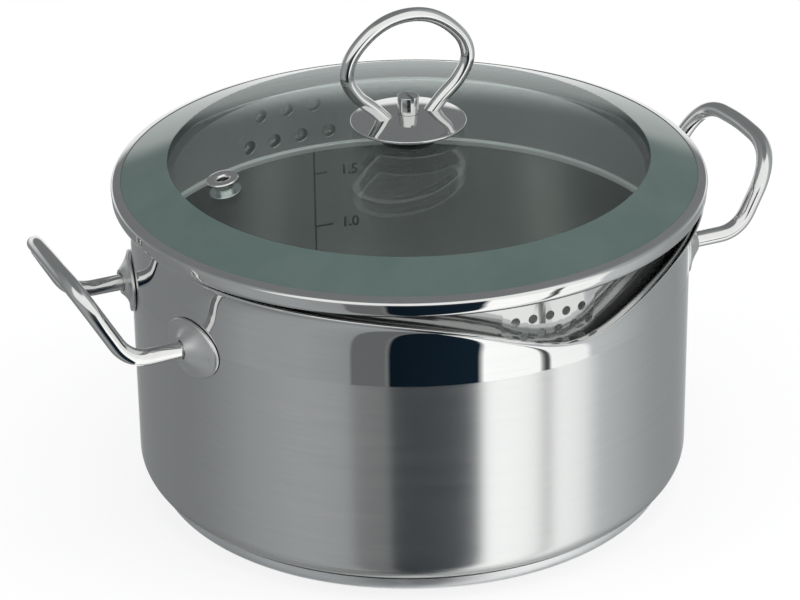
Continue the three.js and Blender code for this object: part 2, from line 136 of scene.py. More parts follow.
class Wire:
    """One output socket of a node tree."""

    def __init__(self, tree, socket=None):
        self.tree = tree
        self.socket = socket

    def node(self, kind, settings=None, inputs=None, output=0):
        made = self.tree.nodes.new(kind)
        for key, value in (settings or {}).items():
            if key == "stops":
                ramp = made.color_ramp.elements
                ramp[0].color, ramp[1].color = value[0][1], value[-1][1]
                for position, colour in value[1:-1]:
                    ramp.new(position).color = colour
            else:
                setattr(made, key, value)
        for key, value in (inputs or {}).items():
            for item in value if isinstance(value, list) else [value]:
                if isinstance(item, Wire):
                    self.tree.links.new(item.socket, made.inputs[key])
                else:
                    made.inputs[key].default_value = item
        return Wire(self.tree, made.outputs[output] if len(made.outputs) else None)

    def __getitem__(self, name):
        return Wire(self.tree, self.socket.node.outputs[name])

    def math(self, operation, first, second=0.0):
        return self.node("ShaderNodeMath", {"operation": operation}, {0: first, 1: second})

    __add__, __radd__ = calculated("ADD"), calculated("ADD", True)
    __sub__, __rsub__ = calculated("SUBTRACT"), calculated("SUBTRACT", True)
    __mul__, __rmul__ = calculated("MULTIPLY"), calculated("MULTIPLY", True)
    __truediv__, __rtruediv__ = calculated("DIVIDE"), calculated("DIVIDE", True)
    __pow__, __rpow__ = calculated("POWER"), calculated("POWER", True)
    __gt__, __lt__ = calculated("GREATER_THAN"), calculated("LESS_THAN")

    def axis(self, name):
        return self.node("ShaderNodeSeparateXYZ", {}, {0: self}, name)

    def radius(self):
        """The distance of a place from the upright axis."""
        x, y = self.axis("X"), self.axis("Y")
        return (x * x + y * y) ** 0.5

    def join(self, x, y, z):
        return self.node("ShaderNodeCombineXYZ", {}, {0: x, 1: y, 2: z})

    def step(self, low, high):
        """0 below low, 1 above high, and a soft change between them."""
        limits = {"Value": self, "From Min": low, "From Max": high}
        return self.node("ShaderNodeMapRange", {"interpolation_type": "SMOOTHSTEP"}, limits)

    def noise(self, scale, detail, roughness):
        settings = {"Vector": self, "Scale": scale, "Detail": detail, "Roughness": roughness}
        return self.node("ShaderNodeTexNoise", {}, settings)

    def blend(self, first, second):
        """A colour between two colours, with this socket as the share of the second."""
        first, second = ((*c, 1.0) if isinstance(c, tuple) else c for c in (first, second))
        colours = {"Factor": self, 6: first, 7: second}
        return self.node("ShaderNodeMix", {"data_type": "RGBA"}, colours, 2)


def new_material(name):
    material = bpy.data.materials.new(name)
    material.use_nodes = True
    material.node_tree.nodes.clear()
    return material, Wire(material.node_tree)


def surface(wire, shader):
    wire.node("ShaderNodeOutputMaterial", {}, {"Surface": shader})


def object_place(wire):
    return wire.node("ShaderNodeTexCoord", output="Object")


def relieved(wire, looks, height, strength, depth):
    """A principled shader with a fine relief, as deep as depth in metres."""
    relief = {"Height": height, "Strength": strength, "Distance": depth}
    normal = wire.node("ShaderNodeBump", {}, relief)
    return wire.node("ShaderNodeBsdfPrincipled", {}, {**looks, "Normal": normal})


print("node expressions are ready")

# %% [markdown]
# ## Brushed and polished wall
#
# The wall was brushed round and round with a belt, then a band under the rim was polished again, so
# one sheet carries two finishes with a crisp line between them. The brushing is noise on stretched
# coordinates: slow round the axis, fast along the height and across the floor. The marks spread a
# reflection up and down, which the shader's anisotropy also does. The inside is calmer. Its wall
# mirrors itself, and six faint upright light and dark bands painted into its tone stand for that:
# painted reflection, which also makes the inside darker.

# %% Wall finish
POLISH_LINE = 75.6
POLISH_EDGE = 0.15
INSIDE_RADIUS = 89.65
INSIDE_FLOOR = 6.15
PAINTED_REFLECTION_BANDS = 6
PAINTED_REFLECTION_TURN = math.radians(94.0)
PAINTED_REFLECTION_FADE = (70.0, 88.0)
BRUSHED_ROUGH, POLISHED_ROUGH, INSIDE_ROUGH = 0.25, 0.04, 0.24
STEEL = (0.735, 0.735, 0.73)
STEEL_SHADE = (0.70, 0.703, 0.703)
# painted reflection: the light and the dark tone of the inside wall's upright bands
INSIDE_REFLECTION_LIGHT = (0.73, 0.735, 0.715)
INSIDE_REFLECTION_DARK = (0.5, 0.505, 0.495)
BRUSH_DEPTH = 0.00004


def streaks(wire, slow, fast, roughness):
    """Noise that changes slowly round Z and fast along the height and the radius."""
    place = object_place(wire)
    radius = place.radius()
    x, y, z = (place.axis(name) for name in "XYZ")
    stretched = wire.join(x / radius * slow, y / radius * slow, (z + radius) * fast)
    return stretched.noise(1.0, 2.0, roughness)


def wall_finish():
    material, wire = new_material("wall_steel")
    place = object_place(wire)
    radius, height = place.radius(), place.axis("Z")
    polish = height.step((POLISH_LINE - POLISH_EDGE) * MM, (POLISH_LINE + POLISH_EDGE) * MM)
    inside = (radius < INSIDE_RADIUS * MM) * (height > INSIDE_FLOOR * MM)
    fine = streaks(wire, 5.0, 2600.0, 0.6)
    broad = streaks(wire, 2.0, 520.0, 0.5)
    smear = place.noise(28.0, 4.0, 0.55)
    brushed = BRUSHED_ROUGH + (fine - 0.5) * 0.06 + (broad - 0.5) * 0.03
    bright = POLISHED_ROUGH + (smear - 0.45) * 0.03
    dull = INSIDE_ROUGH + (smear - 0.5) * 0.05
    rough = brushed * (1 - polish) + bright * polish
    grain = (fine * 0.7 + broad * 0.3) * (1 - polish) * (1 - inside * 0.8)
    # painted reflection: six light and dark upright bands in the inside wall's colour stand for its
    # mirroring
    turn = wire.math("ARCTAN2", place.axis("Y"), place.axis("X")) - PAINTED_REFLECTION_TURN
    upright = wire.math("COSINE", turn * PAINTED_REFLECTION_BANDS)
    upright = upright * radius.step(PAINTED_REFLECTION_FADE[0] * MM, PAINTED_REFLECTION_FADE[1] * MM)
    inner_painted_reflection = upright.step(-1.0, 1.0).blend(INSIDE_REFLECTION_DARK, INSIDE_REFLECTION_LIGHT)
    outer_tone = (fine * 0.6 + broad * 0.4).step(0.3, 0.75).blend(STEEL_SHADE, STEEL)
    looks = {
        "Base Color": inside.blend(outer_tone, inner_painted_reflection),
        "Metallic": 1 - inside * 0.03,
        "Roughness": rough * (1 - inside) + dull * inside,
        "Anisotropic": 0.96,
        "Anisotropic Rotation": 0.25,
    }
    surface(wire, relieved(wire, looks, grain, 0.15, BRUSH_DEPTH))
    return material


WALL_STEEL = wall_finish()
print("wall finish: brushed below", POLISH_LINE, "mm and polished above")

# %% [markdown]
# ## Polished steel
#
# The rods, the lid's band and the knob are polished to a mirror, but a mirror that is handled:
# smears change its roughness a little, and the polishing wheel leaves hairlines. Rods and sheets
# share one recipe with different numbers, and the lugs and the base have a duller one.

# %% Rod, sheet, lug and base finishes
HAIRLINE_DEPTH = 0.00002
SMEAR = (60.0, 4.0, 0.55)


def polished(name, tone, haze, hairline):
    material, wire = new_material(name)
    smear = object_place(wire).noise(*SMEAR)
    lines = streaks(wire, 14.0, 1500.0, 0.6)
    shade = tuple(0.93 * value for value in tone)
    looks = {
        "Base Color": (smear * 0.5 + lines * 0.5).step(0.3, 0.7).blend(shade, tone),
        "Metallic": 1.0,
        "Roughness": haze * (0.6 + smear * 0.8) + (lines - 0.5) * haze * 0.4,
    }
    marks = lines * 0.7 + smear * 0.3
    surface(wire, relieved(wire, looks, marks, hairline, HAIRLINE_DEPTH))
    return material


ROD_STEEL = polished("rod_steel", (0.76, 0.76, 0.755), 0.055, 0.06)
SHEET_STEEL = polished("sheet_steel", (0.75, 0.75, 0.745), 0.04, 0.04)
LUG_STEEL = polished("lug_steel", (0.74, 0.74, 0.74), 0.36, 0.1)
BASE_STEEL = polished("base_steel", (0.86, 0.865, 0.87), 0.42, 0.2)
print("steel:", [steel.name for steel in (ROD_STEEL, SHEET_STEEL, LUG_STEEL, BASE_STEEL)])

# %% [markdown]
# ## The strainer's steel
#
# The strainer's skirt is one pressed sheet, but its sides look different. The outside is a fairly
# dark mirror and the inside is dull. The folded hem at its lower edge is painted the lightest part:
# a painted highlight, a light tone with less metal, for the bright line it shows. The place on the
# piece tells them apart: the distance from the axis and the height.

# %% Skirt finish
HEM_LINE = 79.7
HEM_EDGE = 0.3
SKIRT_SIDES = (87.5, 87.7)
SKIRT_TONE = (0.74, 0.745, 0.74)
SKIRT_OUTSIDE_TONE = (0.6, 0.605, 0.6)
# painted highlight: the light tone of the folded hem
HEM_PAINTED_HIGHLIGHT = (0.9, 0.9, 0.89)


def skirt_finish():
    material, wire = new_material("skirt_steel")
    place = object_place(wire)
    # the hem mask carries a painted highlight: a light colour and less metal on the folded hem
    hem = 1 - place.axis("Z").step(HEM_LINE * MM, (HEM_LINE + HEM_EDGE) * MM)
    outside = place.radius().step(SKIRT_SIDES[0] * MM, SKIRT_SIDES[1] * MM)
    dull = 1 - outside
    smear = place.noise(*SMEAR)
    looks = {
        "Base Color": hem.blend(outside.blend(SKIRT_TONE, SKIRT_OUTSIDE_TONE), HEM_PAINTED_HIGHLIGHT),
        "Metallic": 1 - dull * (0.3 + hem * 0.3) - outside * 0.09,
        "Roughness": 0.06 + smear * 0.04 + dull * (0.12 + smear * 0.06),
    }
    surface(wire, relieved(wire, looks, smear, 0.04, HAIRLINE_DEPTH))
    return material


SKIRT_STEEL = skirt_finish()
print("skirt finish: light hem below", HEM_LINE, "mm")

# %% [markdown]
# ## Glass, silicone, aluminium and the etched scale
#
# The lid's middle is clear, faintly green glass, and its sloped shoulder has a satin grey-green coat
# inside. Where the coat faces down it is painted much lighter: painted light in place of the shade
# on its underside. The distance from the axis divides the two in one material. The clear part is a
# film that lets light straight through and mirrors more at a flat angle, which stays clean of noise
# and lets lamps into the pot. Each face mirrors on its own, so the knob shows twice in it.

# %% Glass and small finishes
CREASE_RADIUS = 76.9
CREASE_EDGE = 0.1
STRAIGHT_MIRROR = 0.04
CLEAR_TINT = (0.93, 0.955, 0.948)
GLOSS_TINT = (0.94, 1.0, 1.0)
SHOULDER_TONE = (0.075, 0.108, 0.098)
SHOULDER_LIGHT = (0.088, 0.122, 0.112)
# painted light: the coat's much lighter colour where it faces down, on its shaded underside
SHOULDER_UNDERSIDE_PAINTED_LIGHT = (0.4, 0.45, 0.44)


def glass_finish():
    material, wire = new_material("lid_glass")
    place = object_place(wire)
    edge = (CREASE_RADIUS - CREASE_EDGE) * MM, (CREASE_RADIUS + CREASE_EDGE) * MM
    coated = place.radius().step(*edge)
    facing = wire.node("ShaderNodeLayerWeight", output="Facing")
    mirror = STRAIGHT_MIRROR + (1 - STRAIGHT_MIRROR) * facing ** 5.0
    clear = wire.node("ShaderNodeBsdfTransparent", {}, {"Color": (*CLEAR_TINT, 1.0)})
    shine = {"Color": (*GLOSS_TINT, 1.0), "Roughness": 0.0}
    gloss = wire.node("ShaderNodeBsdfGlossy", {}, shine)
    pane = wire.node("ShaderNodeMixShader", {}, {0: mirror, 1: clear, 2: gloss})
    cloud = place.noise(45.0, 4.0, 0.6)
    speck = place.noise(1400.0, 2.0, 0.5)
    # painted light: faces pointing down, the coat's shaded underside, get a much lighter colour
    below = wire.node("ShaderNodeNewGeometry", output="Normal").axis("Z") < 0.0
    above = cloud.step(0.3, 0.7).blend(SHOULDER_TONE, SHOULDER_LIGHT)
    looks = {
        "Base Color": below.blend(above, SHOULDER_UNDERSIDE_PAINTED_LIGHT),
        "Roughness": 0.03 + speck * 0.05,
    }
    coat = relieved(wire, looks, speck, 0.05, HAIRLINE_DEPTH)
    surface(wire, wire.node("ShaderNodeMixShader", {}, {0: coated, 1: pane, 2: coat}))
    return material


def plain_finish(name, dark, light, metal, low, high, scale):
    """A quiet surface whose tone and shine vary with one noise."""
    material, wire = new_material(name)
    grain = object_place(wire).noise(scale, 4.0, 0.6)
    looks = {
        "Base Color": grain.step(0.3, 0.7).blend(dark, light),
        "Metallic": metal,
        "Roughness": low + grain * (high - low),
    }
    surface(wire, relieved(wire, looks, grain, 0.15, 0.00005))
    return material


LID_GLASS = glass_finish()
SILICONE = plain_finish(
    "seal_silicone", (0.08, 0.085, 0.085), (0.11, 0.115, 0.115), 0.0, 0.5, 0.7, 900.0)
ALUMINIUM = plain_finish(
    "core_aluminium", (0.66, 0.67, 0.68), (0.74, 0.75, 0.76), 1.0, 0.35, 0.5, 400.0)
ETCHED = plain_finish(
    "etched_mark", (0.05, 0.06, 0.06), (0.1, 0.11, 0.11), 0.0, 0.45, 0.6, 1500.0)
print("glass turns clear inside a radius of", CREASE_RADIUS, "mm")

# %% [markdown]
# ## Turned shapes
#
# Most pieces are round, so one helper turns an outline of radius and height points round the upright
# axis. The outline runs out along the bottom, up the outside and back along the inside, which makes
# every face point outwards. Edges sharper than a limit stay sharp, and the rest shade smoothly.


# %% Outline and turning helpers
def arc(centre_radius, centre_height, radius, start, end, steps):
    angles = np.radians(np.linspace(start, end, steps + 1))
    return [
        (centre_radius + radius * math.cos(a), centre_height + radius * math.sin(a)) for a in angles
    ]


def smooth(mesh, limit=40.0):
    mesh.shade_smooth()
    mesh.set_sharp_from_angle(angle=math.radians(limit))
    return mesh


def ring_faces(rings):
    """Faces between neighbouring rings of point numbers. A ring can be one point, repeated."""
    faces = []
    for low, high in zip(rings, rings[1:]):
        for i in range(len(low)):
            j = (i + 1) % len(low)
            corners = tuple(dict.fromkeys((low[i], low[j], high[j], high[i])))
            if len(corners) > 2:
                faces.append(corners)
    return faces


def turned(name, outline, steps, closed=True, start=0.0):
    """A mesh turned round Z from points in millimetres. A closed outline makes a ring."""
    angles = np.radians(start) + np.arange(steps) * 2 * np.pi / steps
    spokes = [(math.cos(a), math.sin(a)) for a in angles]
    points, rings = [], []
    for radius, height in outline:
        first = len(points)
        if radius < 1e-6:
            points.append((0.0, 0.0, height * MM))
            rings.append([first] * steps)
        else:
            points += [(radius * c * MM, radius * s * MM, height * MM) for c, s in spokes]
            rings.append(range(first, first + steps))
    mesh = bpy.data.meshes.new(name)
    mesh.from_pydata(points, [], ring_faces(rings + rings[:1] if closed else rings))
    return smooth(mesh)


def rounded_washer(inside, outside, bottom, thickness, edge):
    top = bottom + thickness
    return [
        (inside, bottom),
        *arc(outside - edge, bottom + edge, edge, -90, 0, 4),
        *arc(outside - edge, top - edge, edge, 0, 90, 4),
        (inside, top),
    ]


def place_piece(mesh, material, body, slot, *nodes):
    """Adds a finished mesh to the object, riding on a body and standing for CAD nodes."""
    piece = linked(mesh.name, mesh)
    if material is not None:
        mesh.materials.clear()
        mesh.materials.append(material)
    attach(piece, body)
    if nodes:
        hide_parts(*nodes)
    print(f"{mesh.name}: {len(mesh.polygons)} faces, rides on {body}")


print("turning helpers are ready")

# %% [markdown]
# ## Geometry Nodes helpers
#
# What repeats or follows a path or a rule is made by Geometry Nodes, in trees with named inputs for
# their sizes. The helpers start a tree, end it, and run trees on a plain mesh. The result is kept as
# a plain mesh, because the export drops live instances.


# %% Start, end and run a tree
def start_tree(name, floats, *counts):
    tree = bpy.data.node_groups.new(name, "GeometryNodeTree")
    kinds = {"Geometry": "Geometry", "Material": "Material"}
    kinds |= dict.fromkeys(counts, "Int") | dict.fromkeys(floats, "Float")
    for label, kind in kinds.items():
        tree.interface.new_socket(label, in_out="INPUT", socket_type="NodeSocket" + kind)
    tree.interface.new_socket("Geometry", in_out="OUTPUT", socket_type="NodeSocketGeometry")
    return tree, Wire(tree).node("NodeGroupInput")


def moved(geometry, place):
    points = {"Geometry": geometry, "Position": place}
    return geometry.node("GeometryNodeSetPosition", {}, points)


def repeated(given, thing, place, fitting):
    """A row of copies of a thing at places, turned or scaled by the fitting."""
    row = moved(given.node("GeometryNodeMeshLine", {}, {"Count": given["Count"]}), place)
    copies = {"Points": row, "Instance": thing, **fitting}
    copies = given.node("GeometryNodeInstanceOnPoints", {}, copies)
    return given.node("GeometryNodeRealizeInstances", {}, {"Geometry": copies})


def end_tree(given, geometry):
    whole = given.node("GeometryNodeRealizeInstances", {}, {"Geometry": geometry})
    painted = {"Geometry": whole, "Material": given["Material"]}
    result = given.node("GeometryNodeSetMaterial", {}, painted)
    given.node("NodeGroupOutput", {}, {"Geometry": result})


def settled(carrier):
    """A carrier's mesh with its modifiers applied, which takes the place of the old data."""
    evaluated = carrier.evaluated_get(bpy.context.evaluated_depsgraph_get())
    result = bpy.data.meshes.new_from_object(evaluated)
    name = carrier.data.name
    bpy.data.batch_remove((carrier, carrier.data))
    result.name = name
    return result


def run_trees(mesh, *runs):
    """Runs (tree, inputs) pairs on a mesh, one after another."""
    carrier = linked("carrier", mesh)
    for tree, inputs in runs:
        modifier = carrier.modifiers.new(tree.name, "NODES")
        modifier.node_group = tree
        for item in tree.interface.items_tree:
            if item.in_out == "INPUT" and item.name in inputs:
                modifier[item.identifier] = inputs[item.name]
    return settled(carrier)


print("tree helpers are ready")

# %% [markdown]
# ## The pot body
#
# The vessel is drawn from one sheet: a flat floor, a rounded corner, a straight wall and a rolled
# rim. The spout is pressed in afterwards, and so it is here: the plain pot is turned first, and then
# a tree moves its points by a rule. The rim sinks in a soft hollow and its lip turns out. It stands a
# little lower than in the CAD model, so that the dark line under the lid's band shows.

# %% Pot outline
POT_RADIUS = 90.0
POT_HEIGHT = 100.4
POT_STEEL = 0.7
POT_INSIDE = POT_RADIUS - POT_STEEL
POT_BOTTOM = 5.8
POT_CORNER = 7.2
RIM_BEAD = 1.1
RIM_DROP = 0.4
SPOUT_TURN = 8.2
SPOUT_DRAW = 27.0
POT_STEPS = 360
corner_radius, corner_height = POT_RADIUS - POT_CORNER, POT_BOTTOM + POT_CORNER
bead_radius, bead_height = POT_INSIDE + RIM_BEAD, POT_HEIGHT - RIM_DROP - RIM_BEAD
bead_start = math.degrees(math.asin((POT_RADIUS - bead_radius) / RIM_BEAD)) - 90
draw_start = POT_HEIGHT - SPOUT_DRAW
wall = list(np.linspace(corner_height + 4, draw_start, 10))
wall += list(np.linspace(draw_start, bead_height - RIM_BEAD - 0.4, 36))[1:]
pot_outline = [
    (0.0, POT_BOTTOM),
    *[(corner_radius * share, POT_BOTTOM) for share in (0.3, 0.6, 0.9)],
    *arc(corner_radius, corner_height, POT_CORNER, -90, 0, 12),
    *[(POT_RADIUS, height) for height in wall],
    *arc(bead_radius, bead_height, RIM_BEAD, bead_start, 180, 16),
    *[(POT_INSIDE, height) for height in reversed(wall)],
    *arc(corner_radius, corner_height, POT_CORNER - POT_STEEL, 0, -90, 12),
    *[(corner_radius * share, POT_BOTTOM + POT_STEEL) for share in (0.9, 0.6, 0.3)],
    (0.0, POT_BOTTOM + POT_STEEL),
]
print("pot outline:", len(pot_outline), "points")


# %% Spout tree
def spout_tree():
    sizes = ("Rim Height", "Draw", "Turn", "Dip", "Dip Spread", "Tip Softness",
             "Flare", "Flare Angle", "Flare Power")
    tree, given = start_tree("pressed_spout", sizes)
    rim, draw, turn, dip, spread, soft, flare, reach, curl = (given[name] for name in sizes)
    place = given.node("GeometryNodeInputPosition")
    x, y, z = (place.axis(name) for name in "XYZ")
    height = given.math("MAXIMUM", 0.0, (z - rim + draw) / draw)
    angle = given.math("ARCTAN2", x, 0 - y) - turn
    away = (angle * angle + soft * soft) ** 0.5 - soft
    sink = given.math("EXPONENT", 0 - away / spread) * height
    across = given.math("MINIMUM", 1.0, given.math("ABSOLUTE", angle) / reach)
    lean = (1 - across * across) ** 2.0 * height ** curl
    stretch = 1 + flare * lean / (x * x + y * y + 1e-9) ** 0.5
    pressed = place.join(x * stretch, y * stretch, z - dip * sink)
    end_tree(given, moved(given["Geometry"], pressed))
    return tree


SPOUT = {
    "Rim Height": POT_HEIGHT * MM,
    "Draw": SPOUT_DRAW * MM,
    "Turn": math.radians(SPOUT_TURN),
    "Dip": 14.7 * MM,
    "Dip Spread": math.radians(11.0),
    "Tip Softness": math.radians(16.0),
    "Flare": 5.6 * MM,
    "Flare Angle": math.radians(125.0),
    "Flare Power": 9.0,
    "Material": WALL_STEEL,
}
plain_pot = turned("pot_wall", pot_outline, POT_STEPS, closed=False, start=SPOUT_TURN - 90)
pot_wall = smooth(run_trees(plain_pot, (spout_tree(), SPOUT)))
place_piece(pot_wall, None, "pot", "brushed_wall", "pot_body")

# %% [markdown]
# ## The base
#
# A thick aluminium disc under the floor spreads the heat, and a pressed steel cap covers it. Only
# the cap is seen, so it is turned again with a soft corner, while the disc keeps the CAD shape and
# gets its own finish.

# %% Base cap
CAP_RADIUS = 85.0
CAP_STEEL = 0.5
CAP_CORNER = 4.5
CAP_TOP = POT_BOTTOM - 0.3
corner = CAP_RADIUS - CAP_CORNER
cap_outline = [
    (0.0, 0.0),
    *[(corner * share, 0.0) for share in (0.25, 0.5, 0.75)],
    *arc(corner, CAP_CORNER, CAP_CORNER, -90, 0, 10),
    (CAP_RADIUS, CAP_TOP),
    (CAP_RADIUS - CAP_STEEL, CAP_TOP),
    *arc(corner, CAP_CORNER, CAP_CORNER - CAP_STEEL, 0, -90, 8),
    (0.0, CAP_STEEL),
]
base_cap = turned("base_cap", cap_outline, 240, closed=False)
place_piece(base_cap, BASE_STEEL, "pot", "brushed_base", "base_capsule")
core = frame["nodes"]["base_core"].data.materials
core.clear()
core.append(ALUMINIUM)

# %% [markdown]
# ## Bent rods
#
# Each side handle is one round rod, bent out of its two lugs, up and across. The knob is another,
# bent into a loop. Both follow a path, so a tree sweeps a circle along it. The handles' paths are
# straight runs with rounded corners, and the loop's is a smooth curve through a few places.


# %% Rod tree and paths
def rod_tree():
    tree, given = start_tree("bent_rod", ["Radius"], "Sides")
    path = given.node("GeometryNodeMeshToCurve", {}, {"Mesh": given["Geometry"]})
    circle = {"Resolution": given["Sides"], "Radius": given["Radius"]}
    section = given.node("GeometryNodeCurvePrimitiveCircle", {}, circle)
    swept = {"Curve": path, "Profile Curve": section, "Fill Caps": True}
    end_tree(given, given.node("GeometryNodeCurveToMesh", {}, swept))
    return tree


ROD = rod_tree()
ROD_SIDES = 32


def rod_mesh(name, points, radius, material):
    mesh = bpy.data.meshes.new(name)
    edges = [(i, i + 1) for i in range(len(points) - 1)]
    mesh.from_pydata([Vector(point) * MM for point in points], edges, [])
    sizes = {"Radius": radius * MM, "Sides": ROD_SIDES, "Material": material}
    return smooth(run_trees(mesh, (ROD, sizes)), 60.0)


def rounded_path(corners, bends, steps=18):
    corners = [Vector(corner) for corner in corners]
    points = [corners[0]]
    for before, corner, after, bend in zip(corners, corners[1:], corners[2:], bends):
        back, ahead = (before - corner).normalized(), (after - corner).normalized()
        setback = bend / math.tan(back.angle(ahead) / 2)
        start, end = corner + back * setback, corner + ahead * setback
        for i in range(steps + 1):
            t = i / steps
            points.append((1 - t) ** 2 * start + 2 * t * (1 - t) * corner + t * t * end)
    return points + [corners[-1]]


print("rod tree:", len(ROD.nodes), "nodes")

# %% Side handles
SOCKET_BOTTOM = 88.05
HANDLE_SPREAD = 26.4
HANDLE_HEIGHT = 74.1
HANDLE_TOP = (120.7, 24.1, 98.9)
HANDLE_MIDDLE = (121.45, 0.0, 100.23)
HANDLE_ELBOW = 106.7
HANDLE_ROD = 2.69
HANDLE_BENDS = (12.6, 17.0, 100.0, 17.0, 12.6)


def handle_path(side):
    half = [
        (SOCKET_BOTTOM + 0.3, HANDLE_SPREAD, HANDLE_HEIGHT),
        (HANDLE_ELBOW, HANDLE_SPREAD, HANDLE_HEIGHT),
        HANDLE_TOP,
    ]
    mirrored = [(x, -y, z) for x, y, z in reversed(half)]
    path = rounded_path([*half, HANDLE_MIDDLE, *mirrored], HANDLE_BENDS)
    return [(side * x, side * y, z) for x, y, z in path]


SIDES = (("right", 1), ("left", -1))
for side, sign in SIDES:
    rod = rod_mesh(f"side_handle_{side}", handle_path(sign), HANDLE_ROD, ROD_STEEL)
    place_piece(rod, None, "pot", "polished_rod", f"handle_{side}")

# %% [markdown]
# ## Handle lugs
#
# A lug is a small oval plate pressed to follow the wall, drawn up into a tapered socket that takes
# the rod's end, and spot-welded, which leaves a small dent near its outer edge. It is a grid of rings
# round the rod's axis, from the socket's floor over its mouth, the soft taper and the plate's edge to
# the back that lies along the wall.

# %% Lug mesh
LUG_SEAT = 90.3
LUG_HALF = (11.7, 9.45)
LUG_PLATE = 0.9
SOCKET_BORE = 3.0
SOCKET_OUTSIDE = 4.4
SOCKET_MOUTH = 89.75
SOCKET_TAPER = 0.941
TAPER_SOFTNESS = 2.4
WELD_DENT = (8.9, -0.6)
DENT_DEPTH = 0.55
DENT_SPREAD = 0.7
EDGE_START = 0.93
LUG_STEPS = 72


def soft_max(a, b, width):
    share = np.clip(0.5 + 0.5 * (a - b) / width, 0, 1)
    return b + (a - b) * share + width * share * (1 - share)


def lug_mesh(name, side, end):
    turn = np.arange(LUG_STEPS) * 2 * np.pi / LUG_STEPS
    edge = 1 / np.sqrt((np.cos(turn) / LUG_HALF[0]) ** 2 + (np.sin(turn) / LUG_HALF[1]) ** 2)

    def seat(out):
        return np.sqrt(LUG_SEAT ** 2 - (HANDLE_SPREAD + out * np.cos(turn)) ** 2)

    def face(out, share):
        across, up = out * np.cos(turn), out * np.sin(turn)
        taper = SOCKET_MOUTH - 0.3 - (out - SOCKET_OUTSIDE) / SOCKET_TAPER
        rounding = 1 - np.clip((share - EDGE_START) / (1 - EDGE_START), 0, 1) ** 2 * 0.6
        from_dent = (across - WELD_DENT[0]) ** 2 + (up - WELD_DENT[1]) ** 2
        dent = DENT_DEPTH * np.exp(-from_dent / DENT_SPREAD)
        return soft_max(taper, seat(out) + LUG_PLATE * rounding, TAPER_SOFTNESS) - dent

    socket = [
        (0.02, SOCKET_BOTTOM), (SOCKET_BORE, SOCKET_BOTTOM), (SOCKET_BORE, SOCKET_MOUTH - 0.2),
        (SOCKET_BORE + 0.2, SOCKET_MOUTH), (SOCKET_OUTSIDE - 0.3, SOCKET_MOUTH),
    ]
    rings = [(np.full(LUG_STEPS, out), np.full(LUG_STEPS, x)) for out, x in socket]
    for share in [*np.linspace(0, 0.9, 26), EDGE_START, 0.955, 0.975, 0.99, 1.0]:
        out = SOCKET_OUTSIDE + (edge - SOCKET_OUTSIDE) * share
        rings.append((out, face(out, share)))
    for share in (1.0, 0.7, 0.4, 0.002):
        rings.append((edge * share, seat(edge * share)))
    points = []
    for out, x in rings:
        across, up = HANDLE_SPREAD + out * np.cos(turn), HANDLE_HEIGHT + out * np.sin(turn)
        points += [(side * a * MM, side * end * b * MM, c * MM) for a, b, c in zip(x, across, up)]
    numbers = [range(i, i + LUG_STEPS) for i in range(0, len(points), LUG_STEPS)]
    faces = [*ring_faces(numbers), tuple(numbers[0]), tuple(numbers[-1])]
    mesh = bpy.data.meshes.new(name)
    mesh.from_pydata(points, [], faces)
    shell = bmesh.new()
    shell.from_mesh(mesh)
    bmesh.ops.recalc_face_normals(shell, faces=shell.faces)
    shell.to_mesh(mesh)
    shell.free()
    return smooth(mesh, 35.0)


for side, sign in SIDES:
    for end, reach in (("rear", sign), ("front", -sign))[::sign]:
        lug = lug_mesh(f"lug_{side}_{end}", sign, reach)
        place_piece(lug, LUG_STEEL, "pot", "satin_lug", f"handle_lug_{side}_{end}")

# %% [markdown]
# ## Punched holes
#
# Holes in a row repeat at a pitch, so a tree makes them: a line of points is bent to the row's
# radius, a cutter stands on each point, and the cutters are taken out of the sheet. The cutters can
# lean, so one tree serves the strainer's rows and the hole in the glass for the steam vent.


# %% Punching tree
def punch_tree():
    sizes = ("Direction", "Pitch", "Distance", "Height", "Lean", "Hole Radius", "Cutter Length")
    tree, given = start_tree("punched_row", sizes, "Count")
    index = given.node("GeometryNodeInputIndex")
    angle = given["Direction"] + (index - (given["Count"] - 1) / 2) * given["Pitch"]
    across = given["Distance"] * given.math("COSINE", angle)
    along = given["Distance"] * given.math("SINE", angle)
    cylinder = {"Vertices": 40, "Radius": given["Hole Radius"], "Depth": given["Cutter Length"]}
    cutter = given.node("GeometryNodeMeshCylinder", {}, cylinder)
    leaning = {"Rotation": given.join(0.0, given["Lean"], angle)}
    cutters = repeated(given, cutter, given.join(across, along, given["Height"]), leaning)
    exact = {"operation": "DIFFERENCE", "solver": "EXACT"}
    cut = {"Mesh 1": given["Geometry"], "Mesh 2": cutters}
    end_tree(given, given.node("GeometryNodeMeshBoolean", exact, cut))
    return tree


PUNCH = punch_tree()
CUTTER_LENGTH = 12.0


def row_inputs(direction, pitch, count, distance, height, lean, hole, material):
    return PUNCH, {
        "Direction": math.radians(direction),
        "Pitch": pitch / distance,
        "Count": count,
        "Distance": distance * MM,
        "Height": height * MM,
        "Lean": lean,
        "Hole Radius": hole * MM,
        "Cutter Length": CUTTER_LENGTH * MM,
        "Material": material,
    }


print("punching tree:", len(PUNCH.nodes), "nodes")

# %% [markdown]
# ## The glass
#
# The lid's glass has a sloped shoulder and a shallow dome that meet in a sharp crease. Both faces
# follow the same curve one thickness apart. It is turned from that curve with close steps at the
# crease, and the hole for the vent is punched through it.

